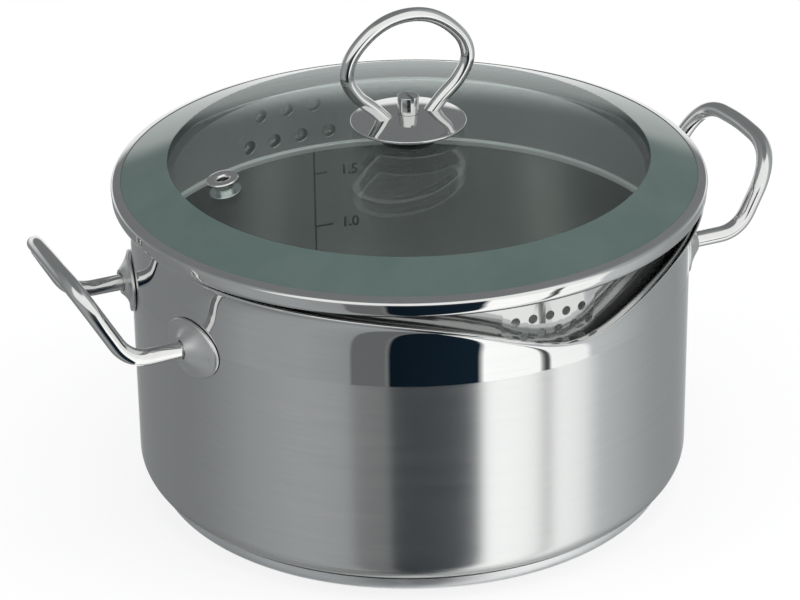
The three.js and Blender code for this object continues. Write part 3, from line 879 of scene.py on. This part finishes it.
# %% Glass mesh
GLASS_RADIUS = 94.3
GLASS_THICKNESS = 3.2
GLASS_EDGE_TOP = 105.7
GLASS_CHAMFER = 0.5
SHOULDER_RISE = 6.8
DOME_RISE = 9.0
DOME_RADIUS = (CREASE_RADIUS ** 2 + DOME_RISE ** 2) / (2 * DOME_RISE)
APEX_TOP = GLASS_EDGE_TOP + SHOULDER_RISE + DOME_RISE
SCREW_HOLE = 2.3
VENT_DISTANCE = 63.3
VENT_DIRECTION = 180.0
VENT_HOLE = 3.2


def glass_top(radius):
    if radius > CREASE_RADIUS:
        share = (radius - CREASE_RADIUS) / (GLASS_RADIUS - CREASE_RADIUS)
        return GLASS_EDGE_TOP + SHOULDER_RISE * (1 - share)
    return APEX_TOP - DOME_RADIUS + math.sqrt(DOME_RADIUS ** 2 - radius ** 2)


radii = list(np.linspace(SCREW_HOLE, CREASE_RADIUS - 0.6, 44))
radii += [CREASE_RADIUS - 0.2, CREASE_RADIUS + 0.2]
radii += list(np.linspace(CREASE_RADIUS + 0.6, GLASS_RADIUS - GLASS_CHAMFER, 12))
upper = [(radius, glass_top(radius)) for radius in radii]
lower = [(radius, height - GLASS_THICKNESS) for radius, height in upper]
edge_top = glass_top(GLASS_RADIUS) - GLASS_CHAMFER
edge_bottom = glass_top(GLASS_RADIUS) - GLASS_THICKNESS + GLASS_CHAMFER
edge = [(GLASS_RADIUS, edge_bottom), (GLASS_RADIUS, edge_top)]
vent_lean = math.asin(VENT_DISTANCE / DOME_RADIUS)
vent_height = glass_top(VENT_DISTANCE) - GLASS_THICKNESS / 2
vent_hole = row_inputs(
    VENT_DIRECTION, 0.0, 1, VENT_DISTANCE, vent_height, vent_lean, VENT_HOLE, LID_GLASS)
plain_glass = turned("glass_dome", [*lower, *edge, *reversed(upper)], 240)
glass = run_trees(plain_glass, vent_hole)
place_piece(smooth(glass, 60.0), None, "lid", "lid_glass", "lid_glass")

# %% [markdown]
# ## The lid's steel
#
# A rolled band holds the glass's edge and the strainer's flange together. Its lower edge is well
# rounded, so that the gap above the pot's rim shows as a dark line. The strainer is a skirt that
# hangs inside the pot's wall, with large holes on one side, small holes on the other and a folded
# hem. Turning the lid brings one group or the plain skirt to the spout.

# %% Rim band
BAND_RADIUS = 95.19
BAND_STEEL = 0.6
BAND_ROUND = 1.4
HEM_ROUND = 2.2
LIP_GAP = 0.05
LIP_EDGE = 0.16
BAND_LIP_INSIDE = 92.1
HEM_INSIDE = 90.4
HEM_TOP = 101.3


hem_bottom = HEM_TOP - BAND_STEEL
inside = BAND_RADIUS - BAND_STEEL


def under(radius):
    lip_slope = SHOULDER_RISE / (GLASS_RADIUS - CREASE_RADIUS)
    return GLASS_EDGE_TOP + (GLASS_RADIUS - radius) * lip_slope + LIP_GAP


lip = under(BAND_LIP_INSIDE)
corner_top = under(BAND_RADIUS) + BAND_STEEL + 0.2
band_outline = [
    (HEM_INSIDE, hem_bottom),
    *arc(BAND_RADIUS - HEM_ROUND, hem_bottom + HEM_ROUND, HEM_ROUND, -90, -8, 9),
    *[(BAND_RADIUS, height) for height in np.linspace(hem_bottom + 2.6, corner_top - 2, 4)],
    *arc(BAND_RADIUS - BAND_ROUND, corner_top - BAND_ROUND, BAND_ROUND, 8, 68, 9),
    (BAND_LIP_INSIDE, lip + LIP_EDGE),
    (BAND_LIP_INSIDE - 0.05, lip + LIP_EDGE / 2),
    (BAND_LIP_INSIDE, lip),
    (inside, under(inside)),
    (inside, HEM_TOP + BAND_STEEL),
    (inside - BAND_STEEL, HEM_TOP),
    (HEM_INSIDE, HEM_TOP),
]
glass_band = turned("glass_band", band_outline, 300)
place_piece(glass_band, SHEET_STEEL, "lid", "polished_sheet", "lid_rim_band")

# %% Strainer skirt
SKIRT_OUTSIDE = 87.9
SKIRT_INSIDE = 87.3
SKIRT_BOTTOM = 77.4
SKIRT_BEND = 1.3
SKIRT_SHEET = SKIRT_OUTSIDE - SKIRT_INSIDE
FLANGE_BOTTOM = 101.6
HEM_FOLD = 1.6
LARGE, SMALL = 2.5, 1.5
# direction, pitch, count, depth below the rim, hole radius
HOLE_ROWS = [
    (94, 10.2, 3, 5.4, LARGE),
    (94, 10.2, 4, 15.8, LARGE),
    (-86, 5.8, 5, 7.7, SMALL),
    (-86, 5.8, 6, 12.9, SMALL),
    (-86, 5.8, 5, 18.1, SMALL),
]
bend_radius, bend_height = SKIRT_OUTSIDE + SKIRT_BEND, FLANGE_BOTTOM - SKIRT_BEND
hem_inside = SKIRT_OUTSIDE - HEM_FOLD
skirt_outline = [
    *arc(SKIRT_OUTSIDE - 0.5, SKIRT_BOTTOM + 0.5, 0.5, -90, 0, 4),
    *arc(bend_radius, bend_height, SKIRT_BEND, 180, 90, 6),
    (GLASS_RADIUS, FLANGE_BOTTOM),
    (GLASS_RADIUS, FLANGE_BOTTOM + SKIRT_SHEET),
    *arc(bend_radius, bend_height, SKIRT_BEND + SKIRT_SHEET, 90, 180, 8),
    *arc(SKIRT_INSIDE - 0.3, SKIRT_BOTTOM + 2.6, 0.3, 0, -90, 3),
    *arc(hem_inside + 0.6, SKIRT_BOTTOM + 1.7, 0.6, 90, 180, 6),
    *arc(hem_inside + 0.7, SKIRT_BOTTOM + 0.7, 0.7, 180, 270, 6),
]
upright = math.pi / 2
rows = [
    row_inputs(turn, pitch, count, SKIRT_OUTSIDE, POT_HEIGHT - depth, upright, hole, SKIRT_STEEL)
    for turn, pitch, count, depth, hole in HOLE_ROWS
]
skirt = run_trees(turned("strainer_skirt", skirt_outline, 240), *rows)
place_piece(smooth(skirt), None, "lid", "polished_sheet", "strainer_ring")

# %% Steam vent
VENT_HALF = [
    (2.9, 1.9), (4.9, 1.9), (5.1, 2.1), (4.9, 2.45), (4.2, 2.65), (3.2, 2.7), (2.4, 2.5), (1.9, 2.0),
    (1.8, 1.4),
]
vent_outline = [*VENT_HALF, *[(radius, -height) for radius, height in reversed(VENT_HALF)]]
vent = turned("vent_rivet", vent_outline, 48)
stand = Matrix.Rotation(math.radians(VENT_DIRECTION), 4, "Z")
stand @= Matrix.Translation(Vector((VENT_DISTANCE, 0.0, vent_height)) * MM)
vent.transform(stand @ Matrix.Rotation(vent_lean, 4, "Y"))
place_piece(vent, SHEET_STEEL, "lid", "polished_sheet", "vent_eyelet")

# %% [markdown]
# ## The knob
#
# The knob's loop stands on a slightly domed disc. A slotted barrel nut in the middle takes a screw
# from below, and silicone washers keep steel off the glass. The loop's curve runs smoothly through
# the places where it leaves its feet, is widest, and closes over the top.

# %% Knob disc and seals
DISC_BOTTOM = 123.0
DISC_TOP = 124.1
DISC_RADIUS = 18.5
DISC_EDGE = 0.4
DISC_CROWN = 2.4
CROWN_RADIUS = 18.2
NUT_BOTTOM = DISC_TOP + DISC_CROWN + 0.3
LOWER_SEAL = APEX_TOP - GLASS_THICKNESS - 1.2
WASHER_BOTTOM = LOWER_SEAL - 1.3
HEAD_TOP = WASHER_BOTTOM - 0.3
SEAL_RADIUS = 9.0
SEAL_THICKNESS = 0.9
WASHER_RADIUS = 7.2


def crown(radius):
    return DISC_TOP - 0.02 + DISC_CROWN * (1 - (radius / CROWN_RADIUS) ** 2)


def seal_outline(bottom):
    return rounded_washer(SCREW_HOLE, SEAL_RADIUS, bottom, SEAL_THICKNESS, 0.35)


disc_outline = [
    (SCREW_HOLE, DISC_BOTTOM),
    *arc(DISC_RADIUS - DISC_EDGE, DISC_BOTTOM + DISC_EDGE, DISC_EDGE, -90, 0, 4),
    *arc(DISC_RADIUS - DISC_EDGE, DISC_TOP - DISC_EDGE, DISC_EDGE, 0, 70, 4),
    *[(radius, crown(radius)) for radius in np.linspace(CROWN_RADIUS, SCREW_HOLE, 28)],
]
washer_outline = rounded_washer(SCREW_HOLE, WASHER_RADIUS, WASHER_BOTTOM, 1.0, 0.3)
ROUND_PIECES = [
    ("knob_plate", disc_outline, SHEET_STEEL, "lid", "polished_sheet", "knob_disc"),
    ("seal_above", seal_outline(APEX_TOP + 0.3), SILICONE, "lid_centre", "silicone",
     "knob_seal_upper"),
    ("seal_below", seal_outline(LOWER_SEAL), SILICONE, "lid_centre", "silicone",
     "knob_seal_lower"),
    ("washer_below", washer_outline, SHEET_STEEL, "lid_centre", "polished_sheet", "knob_washer"),
]
for name, outline, material, body, slot, node in ROUND_PIECES:
    place_piece(turned(name, outline, 96), material, body, slot, node)

# %% Screw and barrel nut
SLOT_LENGTH = 30.0


def slotted(mesh, width, height, depth):
    """Cuts a screwdriver slot across the end of a turned piece at a height."""
    box = bpy.data.meshes.new("slot_cutter")
    shape = bmesh.new()
    size = Matrix.Diagonal((width * MM, SLOT_LENGTH * MM, 2 * depth * MM, 1.0))
    stand = Matrix.Translation((0, 0, height * MM))
    bmesh.ops.create_cube(shape, size=1.0, matrix=stand @ size)
    shape.to_mesh(box)
    shape.free()
    cutter, carrier = linked("slot_cutter", box), linked("carrier", mesh)
    cut = carrier.modifiers.new("slot", "BOOLEAN")
    cut.object = cutter
    cut.solver = "EXACT"
    result = settled(carrier)
    bpy.data.objects.remove(cutter)
    return smooth(result)


NUT_RADIUS = 3.4
NUT_EDGE = 0.3
HEAD_ROUND = 1.6
HEAD_RADIUS = 4.0
SHANK_RADIUS = 2.0
SLOT_WIDTH = 1.1
nut_top, nut_bore, nut_foot = NUT_BOTTOM + 5.4, NUT_BOTTOM + 3.4, NUT_BOTTOM - 0.33
nut_outline = [
    (0.0, nut_bore), (SCREW_HOLE, nut_bore), (SCREW_HOLE, nut_foot), (NUT_RADIUS, nut_foot),
    *arc(NUT_RADIUS - NUT_EDGE, nut_top - NUT_EDGE, NUT_EDGE, 0, 90, 4), (0.0, nut_top),
]
head_bottom, screw_top = HEAD_TOP - 2.5, nut_bore - 0.3
screw_outline = [
    (0.0, head_bottom), (SHANK_RADIUS, head_bottom),
    *arc(HEAD_RADIUS - HEAD_ROUND, head_bottom + HEAD_ROUND, HEAD_ROUND, -90, 0, 6),
    (HEAD_RADIUS, HEAD_TOP), (SHANK_RADIUS, HEAD_TOP), (SHANK_RADIUS, screw_top), (0.0, screw_top),
]
nut = slotted(turned("barrel_nut", nut_outline, 64, closed=False), SLOT_WIDTH, nut_top, 1.3)
screw = turned("knob_fixing", screw_outline, 64, closed=False)
screw = slotted(screw, SLOT_WIDTH, head_bottom, 1.1)
place_piece(nut, ROD_STEEL, "lid_centre", "polished_rod", "knob_barrel_nut")
place_piece(screw, ROD_STEEL, "lid_centre", "polished_rod", "knob_screw")

# %% Knob loop
LOOP_HALF = [
    (4.85, -2.21), (11.3, 4.9), (17.6, 10.9), (20.85, 17.3), (19.6, 23.6), (14.2, 29.9),
    (7.4, 33.95),
]
LOOP_HEIGHT = 35.18
LOOP_ROD = 2.25


def smooth_curve(places, steps=24):
    """Points on a curve through places, whose speed follows the square root of their spacing."""
    places = [Vector(place) for place in places]
    places = [2 * places[0] - places[1], *places, 2 * places[-1] - places[-2]]
    points = [places[1]]
    for a, b, c, d in zip(places, places[1:], places[2:], places[3:]):
        spans = ((a, b), (b, c), (c, d))
        first, middle, last = ((q - p).length ** 0.5 for p, q in spans)
        leave = ((b - a) / first - (c - a) / (first + middle) + (c - b) / middle) * middle
        arrive = ((c - b) / middle - (d - b) / (middle + last) + (d - c) / last) * middle
        for i in range(1, steps + 1):
            t = i / steps
            start = (2 * t ** 3 - 3 * t ** 2 + 1) * b + (t ** 3 - 2 * t ** 2 + t) * leave
            points.append(start + (3 * t ** 2 - 2 * t ** 3) * c + (t ** 3 - t ** 2) * arrive)
    return points


def cut_flat(mesh, height):
    """Cuts off what lies below a height and closes the cut."""
    shape = bmesh.new()
    shape.from_mesh(mesh)
    everything = shape.verts[:] + shape.edges[:] + shape.faces[:]
    plane = {"plane_co": (0, 0, height * MM), "plane_no": (0, 0, 1)}
    cut = bmesh.ops.bisect_plane(shape, geom=everything, clear_inner=True, **plane)
    rims = [item for item in cut["geom_cut"] if isinstance(item, bmesh.types.BMEdge)]
    bmesh.ops.edgeloop_fill(shape, edges=rims)
    bmesh.ops.recalc_face_normals(shape, faces=shape.faces)
    shape.to_mesh(mesh)
    shape.free()
    return smooth(mesh, 60.0)


loop_places = [*LOOP_HALF, (0.0, LOOP_HEIGHT), *[(-out, up) for out, up in reversed(LOOP_HALF)]]
loop_points = smooth_curve([(out, 0.0, DISC_TOP + up) for out, up in loop_places])
loop = cut_flat(rod_mesh("loop_grip", loop_points, LOOP_ROD, ROD_STEEL), DISC_TOP)
place_piece(loop, None, "lid", "polished_rod", "knob_loop")

# %% [markdown]
# ## The litre scale
#
# A line with short and long ticks is etched on the inside wall, with plain numbers beside it. A
# tree lays the ticks out flat, adds the line and the numbers, gives them a hair of thickness and
# bends everything onto the wall, so that nothing stands off it.

# %% Scale tree
SEAM = 0.000001


def bar(given, width, height, columns, rows):
    sizes = {"Size X": width, "Size Y": height, "Vertices X": columns, "Vertices Y": rows}
    return given.node("GeometryNodeMeshGrid", {}, sizes)


def scale_tree():
    sizes = ("First", "Step", "Long", "Short", "Line", "Foot", "Head", "Film", "Wall Radius",
             "Direction")
    tree, given = start_tree("litre_scale", sizes, "Count")
    index = given.node("GeometryNodeInputIndex")
    half = given.math("MODULO", index, 2.0)
    length = given["Short"] + (given["Long"] - given["Short"]) * half
    spot = given.join(length / 2, given["First"] + given["Step"] * index, 0.0)
    tick = bar(given, 1.0, given["Line"], 9, 2)
    ticks = repeated(given, tick, spot, {"Scale": given.join(length, 1.0, 1.0)})
    line = bar(given, given["Line"], given["Head"] - given["Foot"], 2, 20)
    line = given.node("GeometryNodeTransform", {}, {
        "Geometry": line, "Translation": given.join(0.0, (given["Head"] + given["Foot"]) / 2, 0.0)})
    flat = given.node("GeometryNodeJoinGeometry", {}, {"Geometry": [given["Geometry"], ticks, line]})
    thick = given.node("GeometryNodeExtrudeMesh", {}, {
        "Mesh": flat, "Offset": given.join(0.0, 0.0, given["Film"]), "Individual": False})
    backs = given.node("GeometryNodeFlipFaces", {}, {"Mesh": flat})
    solid = given.node("GeometryNodeJoinGeometry", {}, {"Geometry": [thick, backs]})
    solid = given.node("GeometryNodeMergeByDistance", {}, {"Geometry": solid, "Distance": SEAM})
    place = given.node("GeometryNodeInputPosition")
    inwards = given["Wall Radius"] - place.axis("Z")
    angle = given["Direction"] - place.axis("X") / given["Wall Radius"]
    x, y = inwards * given.math("COSINE", angle), inwards * given.math("SINE", angle)
    end_tree(given, moved(solid, place.join(x, y, place.axis("Y"))))
    return tree


SCALE_TREE = scale_tree()
print("scale tree:", len(SCALE_TREE.nodes), "nodes")

# %% Numbers and scale
HALF_LITRE = 20.1
FIRST_MARK = 27.8
NUMBER_SIZE = 5.2
NUMBER_BOLD = 0.1
NUMBER_ASIDE = 9.5
NUMBER_BELOW = 1.5
MARKS = ["0.5", "1.0", "1.5", "2.0"]


def number_mesh():
    """The plain numbers as one flat mesh, each beside its tick."""
    flat = bmesh.new()
    for i, words in enumerate(MARKS):
        curve = bpy.data.curves.new("number", "FONT")
        curve.body = words
        curve.size = NUMBER_SIZE * MM
        curve.offset = NUMBER_BOLD * MM
        digits = settled(linked("number", curve))
        height = FIRST_MARK + i * HALF_LITRE - NUMBER_BELOW
        digits.transform(Matrix.Translation(Vector((NUMBER_ASIDE, height, 0.0)) * MM))
        flat.from_mesh(digits)
        bpy.data.meshes.remove(digits)
    bmesh.ops.remove_doubles(flat, verts=flat.verts, dist=SEAM)
    mesh = bpy.data.meshes.new("litre_marks")
    flat.to_mesh(mesh)
    flat.free()
    return mesh


SCALE = {
    "Count": len(MARKS),
    "First": FIRST_MARK * MM,
    "Step": HALF_LITRE * MM,
    "Long": 6.3 * MM,
    "Short": 4.5 * MM,
    "Line": 0.6 * MM,
    "Foot": 15.0 * MM,
    "Head": 92.0 * MM,
    "Film": 0.05 * MM,
    "Wall Radius": (POT_INSIDE - 0.02) * MM,
    "Direction": math.radians(87.2),
    "Material": ETCHED,
}
marks = run_trees(number_mesh(), (SCALE_TREE, SCALE))
place_piece(marks, None, "pot", "brushed_wall")

# %% [markdown]
# ## The studio
#
# Steel has hardly a colour of its own: it shows what stands round it. Pale, grey and dark screens
# far round the pot would give the upright stripes on its wall, and a large soft light above the
# viewer the streaks on its rods. They are drawn into the world, as tones by direction that only
# reflections see. Floor and background are white, and large soft lamps light what isn't metal.

# %% Floor
FLOOR_SIZE = 8.0
FLOOR_GLOW = 0.8
floor_mesh = bpy.data.meshes.new("floor")
half = FLOOR_SIZE / 2
corners = [(-half, -half, 0), (half, -half, 0), (half, half, 0), (-half, half, 0)]
floor_mesh.from_pydata(corners, [], [(0, 1, 2, 3)])
floor = linked("floor", floor_mesh)
floor_white, wire = new_material("floor_white")
paper = wire.node("ShaderNodeBsdfDiffuse", {}, {"Color": (0.9, 0.9, 0.9, 1.0)})
glow = wire.node("ShaderNodeEmission", {}, {"Color": (1.0, 1.0, 1.0, 1.0)})
path = wire.node("ShaderNodeLightPath")
shown = (path["Is Camera Ray"] + path["Is Transmission Ray"]) * FLOOR_GLOW
surface(wire, wire.node("ShaderNodeMixShader", {}, {0: shown, 1: paper, 2: glow}))
floor_mesh.materials.append(floor_white)
floor.visible_glossy = False
floor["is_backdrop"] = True
print("white floor", FLOOR_SIZE, "m wide")

# %% What the steel mirrors
VIEW_SIDE = math.radians(-114.4)
LOW_SCREENS = [
    (-180, 1.15), (-167, 1.1), (-163, 0.3), (-140, 0.25), (-100, 0.26), (-85, 0.31), (-70, 0.39),
    (-45, 0.41), (-30, 0.37), (-25, 0.34), (-24, 0.17), (-10, 0.165), (-9.6, 0.3), (-8.6, 0.012),
    (27.5, 0.02), (29, 1.35), (54.5, 1.3), (55, 0.09), (58.5, 0.09), (59, 1.25), (76, 1.2),
    (79, 0.7), (95, 0.57), (105, 0.48), (115, 0.4), (140, 0.34), (158, 0.42), (163, 0.6),
    (167, 1.1), (180, 1.15),
]
MIDDLE_SCREENS = [
    (-180, 1.0), (-145, 1.0), (-125, 0.5), (-100, 0.27), (-70, 0.38), (-30, 0.37), (-11, 0.3),
    (-8, 0.06), (27, 0.06), (29, 1.2), (76, 1.0), (80, 0.58), (110, 0.42), (130, 0.55), (148, 1.0),
    (180, 1.0),
]
HIGH_SCREENS = [
    (-180, 0.22), (-130, 0.22), (-95, 0.3), (-62, 0.4), (-52, 1.05), (72, 1.1), (84, 0.5),
    (120, 0.36), (150, 0.24), (180, 0.22),
]
TO_MIDDLE, TO_HIGH, TO_OVERHEAD = (-0.34, -0.04), (0.1, 0.23), (0.84, 0.95)
OVERHEAD = (0.21, 0.22, 0.225)
DEEP = (0.4, 0.9, 1.5)
COOL = (0.945, 0.982, 1.0)
PALE = (0.985, 0.995, 0.985)
DARKEST, PALEST = 0.05, 0.9

world = bpy.data.worlds.new("studio")
bpy.context.scene.world = world
world.use_nodes = True
world.node_tree.nodes.clear()
world.cycles.sampling_method = "NONE"
sky = Wire(world.node_tree)
heading = sky.node("ShaderNodeTexCoord", output="Generated")
x, y, height = (heading.axis(name) for name in "XYZ")
ahead = x * math.cos(VIEW_SIDE) + y * math.sin(VIEW_SIDE)
aside = y * math.cos(VIEW_SIDE) - x * math.sin(VIEW_SIDE)
turn = sky.math("ARCTAN2", aside, ahead) / (2 * math.pi) + 0.5


def screens(tones):
    """A ring of screens: angles from the viewer's side with a tone, in which greys are cool."""
    stops = []
    for angle, tone in tones:
        cast = DEEP if tone < DARKEST else COOL if tone < PALEST else PALE
        stops.append((angle / 360 + 0.5, (*[tone * share for share in cast], 1.0)))
    return sky.node("ShaderNodeValToRGB", {"stops": stops}, {0: turn})


tones = height.step(*TO_MIDDLE).blend(screens(LOW_SCREENS), screens(MIDDLE_SCREENS))
tones = height.step(*TO_HIGH).blend(tones, screens(HIGH_SCREENS))
tones = height.step(*TO_OVERHEAD).blend(tones, OVERHEAD)
path = sky.node("ShaderNodeLightPath")
white = sky.node("ShaderNodeBackground", {}, {"Color": (1.0, 1.0, 1.0, 1.0)})
soft = sky.node("ShaderNodeBackground", {}, {"Color": (0.96, 0.98, 1.0, 1.0), "Strength": 0.55})
mirrored = sky.node("ShaderNodeBackground", {}, {"Color": tones})
room = sky.node("ShaderNodeMixShader", {}, {0: path["Is Glossy Ray"], 1: soft, 2: mirrored})
backdrop = sky.node("ShaderNodeMixShader", {}, {0: path["Is Camera Ray"], 1: room, 2: white})
sky.node("ShaderNodeOutputWorld", {}, {"Surface": backdrop})
print(len(LOW_SCREENS), len(MIDDLE_SCREENS), len(HIGH_SCREENS), "tones in three rings of screens")

# %% Lamps
LAMP_AIM = Vector((0, 0, 0.08))
LAMPS = [
    ("lamp_above", (0.1, -0.1, 1.3), 1.2, 9.0),
    ("lamp_right", (1.1, -0.7, 0.9), 0.8, 7.0),
    ("lamp_left", (-1.2, 0.1, 0.9), 0.9, 6.0),
]
for name, place, size, power in LAMPS:
    lamp = bpy.data.lights.new(name, "AREA")
    lamp.size = size
    lamp.energy = power
    holder = linked(name, lamp)
    holder.location = place
    holder.rotation_euler = (LAMP_AIM - Vector(place)).to_track_quat("-Z", "Y").to_euler()
    holder.visible_glossy = False
print([name for name, *_ in LAMPS])

# %% [markdown]
# ## Measure and finish
#
# The largest step by which the dressed pot reaches outside the CAD model's box is printed. The
# dressed pot has to stay inside the CAD model's box.

# %% Sizes and finish
low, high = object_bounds()
past = max(*(cad_low - low), *(high - cad_high)) / MM
print("largest step outside the CAD box, mm:", round(past, 2))
